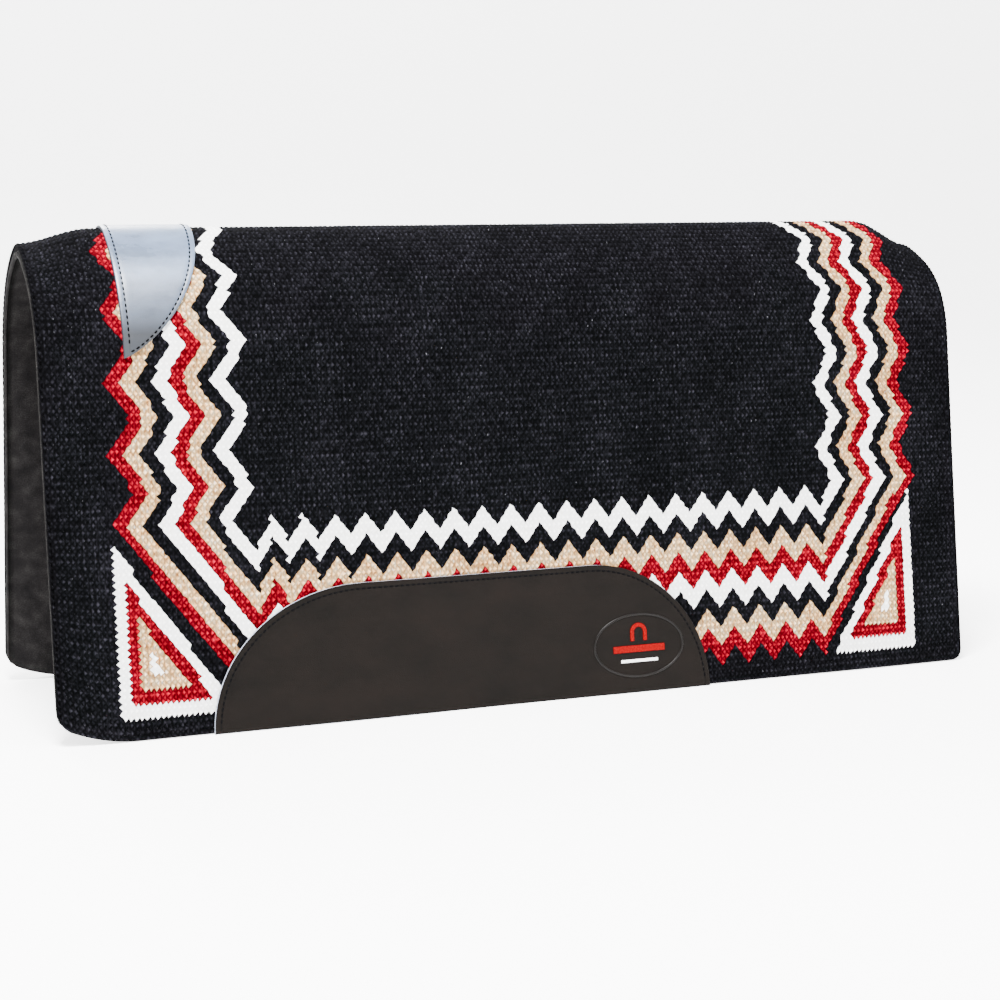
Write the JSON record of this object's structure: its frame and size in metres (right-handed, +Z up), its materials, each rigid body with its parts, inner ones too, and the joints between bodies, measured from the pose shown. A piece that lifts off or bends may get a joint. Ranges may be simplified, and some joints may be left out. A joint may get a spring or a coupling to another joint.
{
  "type": "western saddle pad",
  "caption": "Woven wool saddle pad with a felt liner, draped in an arch, with leather patches at the withers and on both lower edges. Both flaps fold.",
  "frame": {"origin": "midway between the two lower edges, on the surface that the pad stands on", "axes": "+X along the spine from the withers to the rear, +Y from the near flap to the off flap, +Z up"},
  "size_m": [0.864, 0.2672, 0.4176],
  "materials": {
    "wool_black": "napped",
    "felt_grey": "matt",
    "leather_black": "satin",
    "leather_brown_black": "matt",
    "leather_embossed": "satin",
    "thread_black": "matt",
    "emblem_red": "satin",
    "emblem_white": "satin"
  },
  "bodies": {
    "spine": {"blanket_ridge": "wool_black", "blanket_upper_near": "wool_black", "blanket_middle_near": "wool_black", "blanket_lower_near": "wool_black", "blanket_upper_off": "wool_black", "blanket_middle_off": "wool_black", "blanket_lower_off": "wool_black", "felt_ridge": "felt_grey", "felt_upper_near": "felt_grey", "felt_middle_near": "felt_grey", "felt_lower_near": "felt_grey", "felt_upper_off": "felt_grey", "felt_middle_off": "felt_grey", "felt_lower_off": "felt_grey", "wither_leather": "leather_black", "wither_stitching": "thread_black"},
    "near_flap": {"blanket_near": "wool_black", "felt_near": "felt_grey", "wear_leather_near": "leather_brown_black", "wear_stitching_near": "thread_black", "badge_ring_near": "leather_embossed", "badge_emblem_near": "emblem_red", "badge_line_near": "emblem_white"},
    "off_flap": {"blanket_off": "wool_black", "felt_off": "felt_grey", "wear_leather_off": "leather_brown_black", "wear_stitching_off": "thread_black", "badge_ring_off": "leather_embossed", "badge_emblem_off": "emblem_red", "badge_line_off": "emblem_white"}
  },
  "joints": [
    {"name": "near_flap_fold", "type": "hinge", "parent": "spine", "child": "near_flap", "pos_m": [0, -0.08501, 0.2734], "axis": [-1, 0, 0], "range_deg": [-15, 60]},
    {"name": "off_flap_fold", "type": "hinge", "parent": "spine", "child": "off_flap", "pos_m": [0, 0.08501, 0.2734], "axis": [1, 0, 0], "range_deg": [-15, 60]}
  ]
}
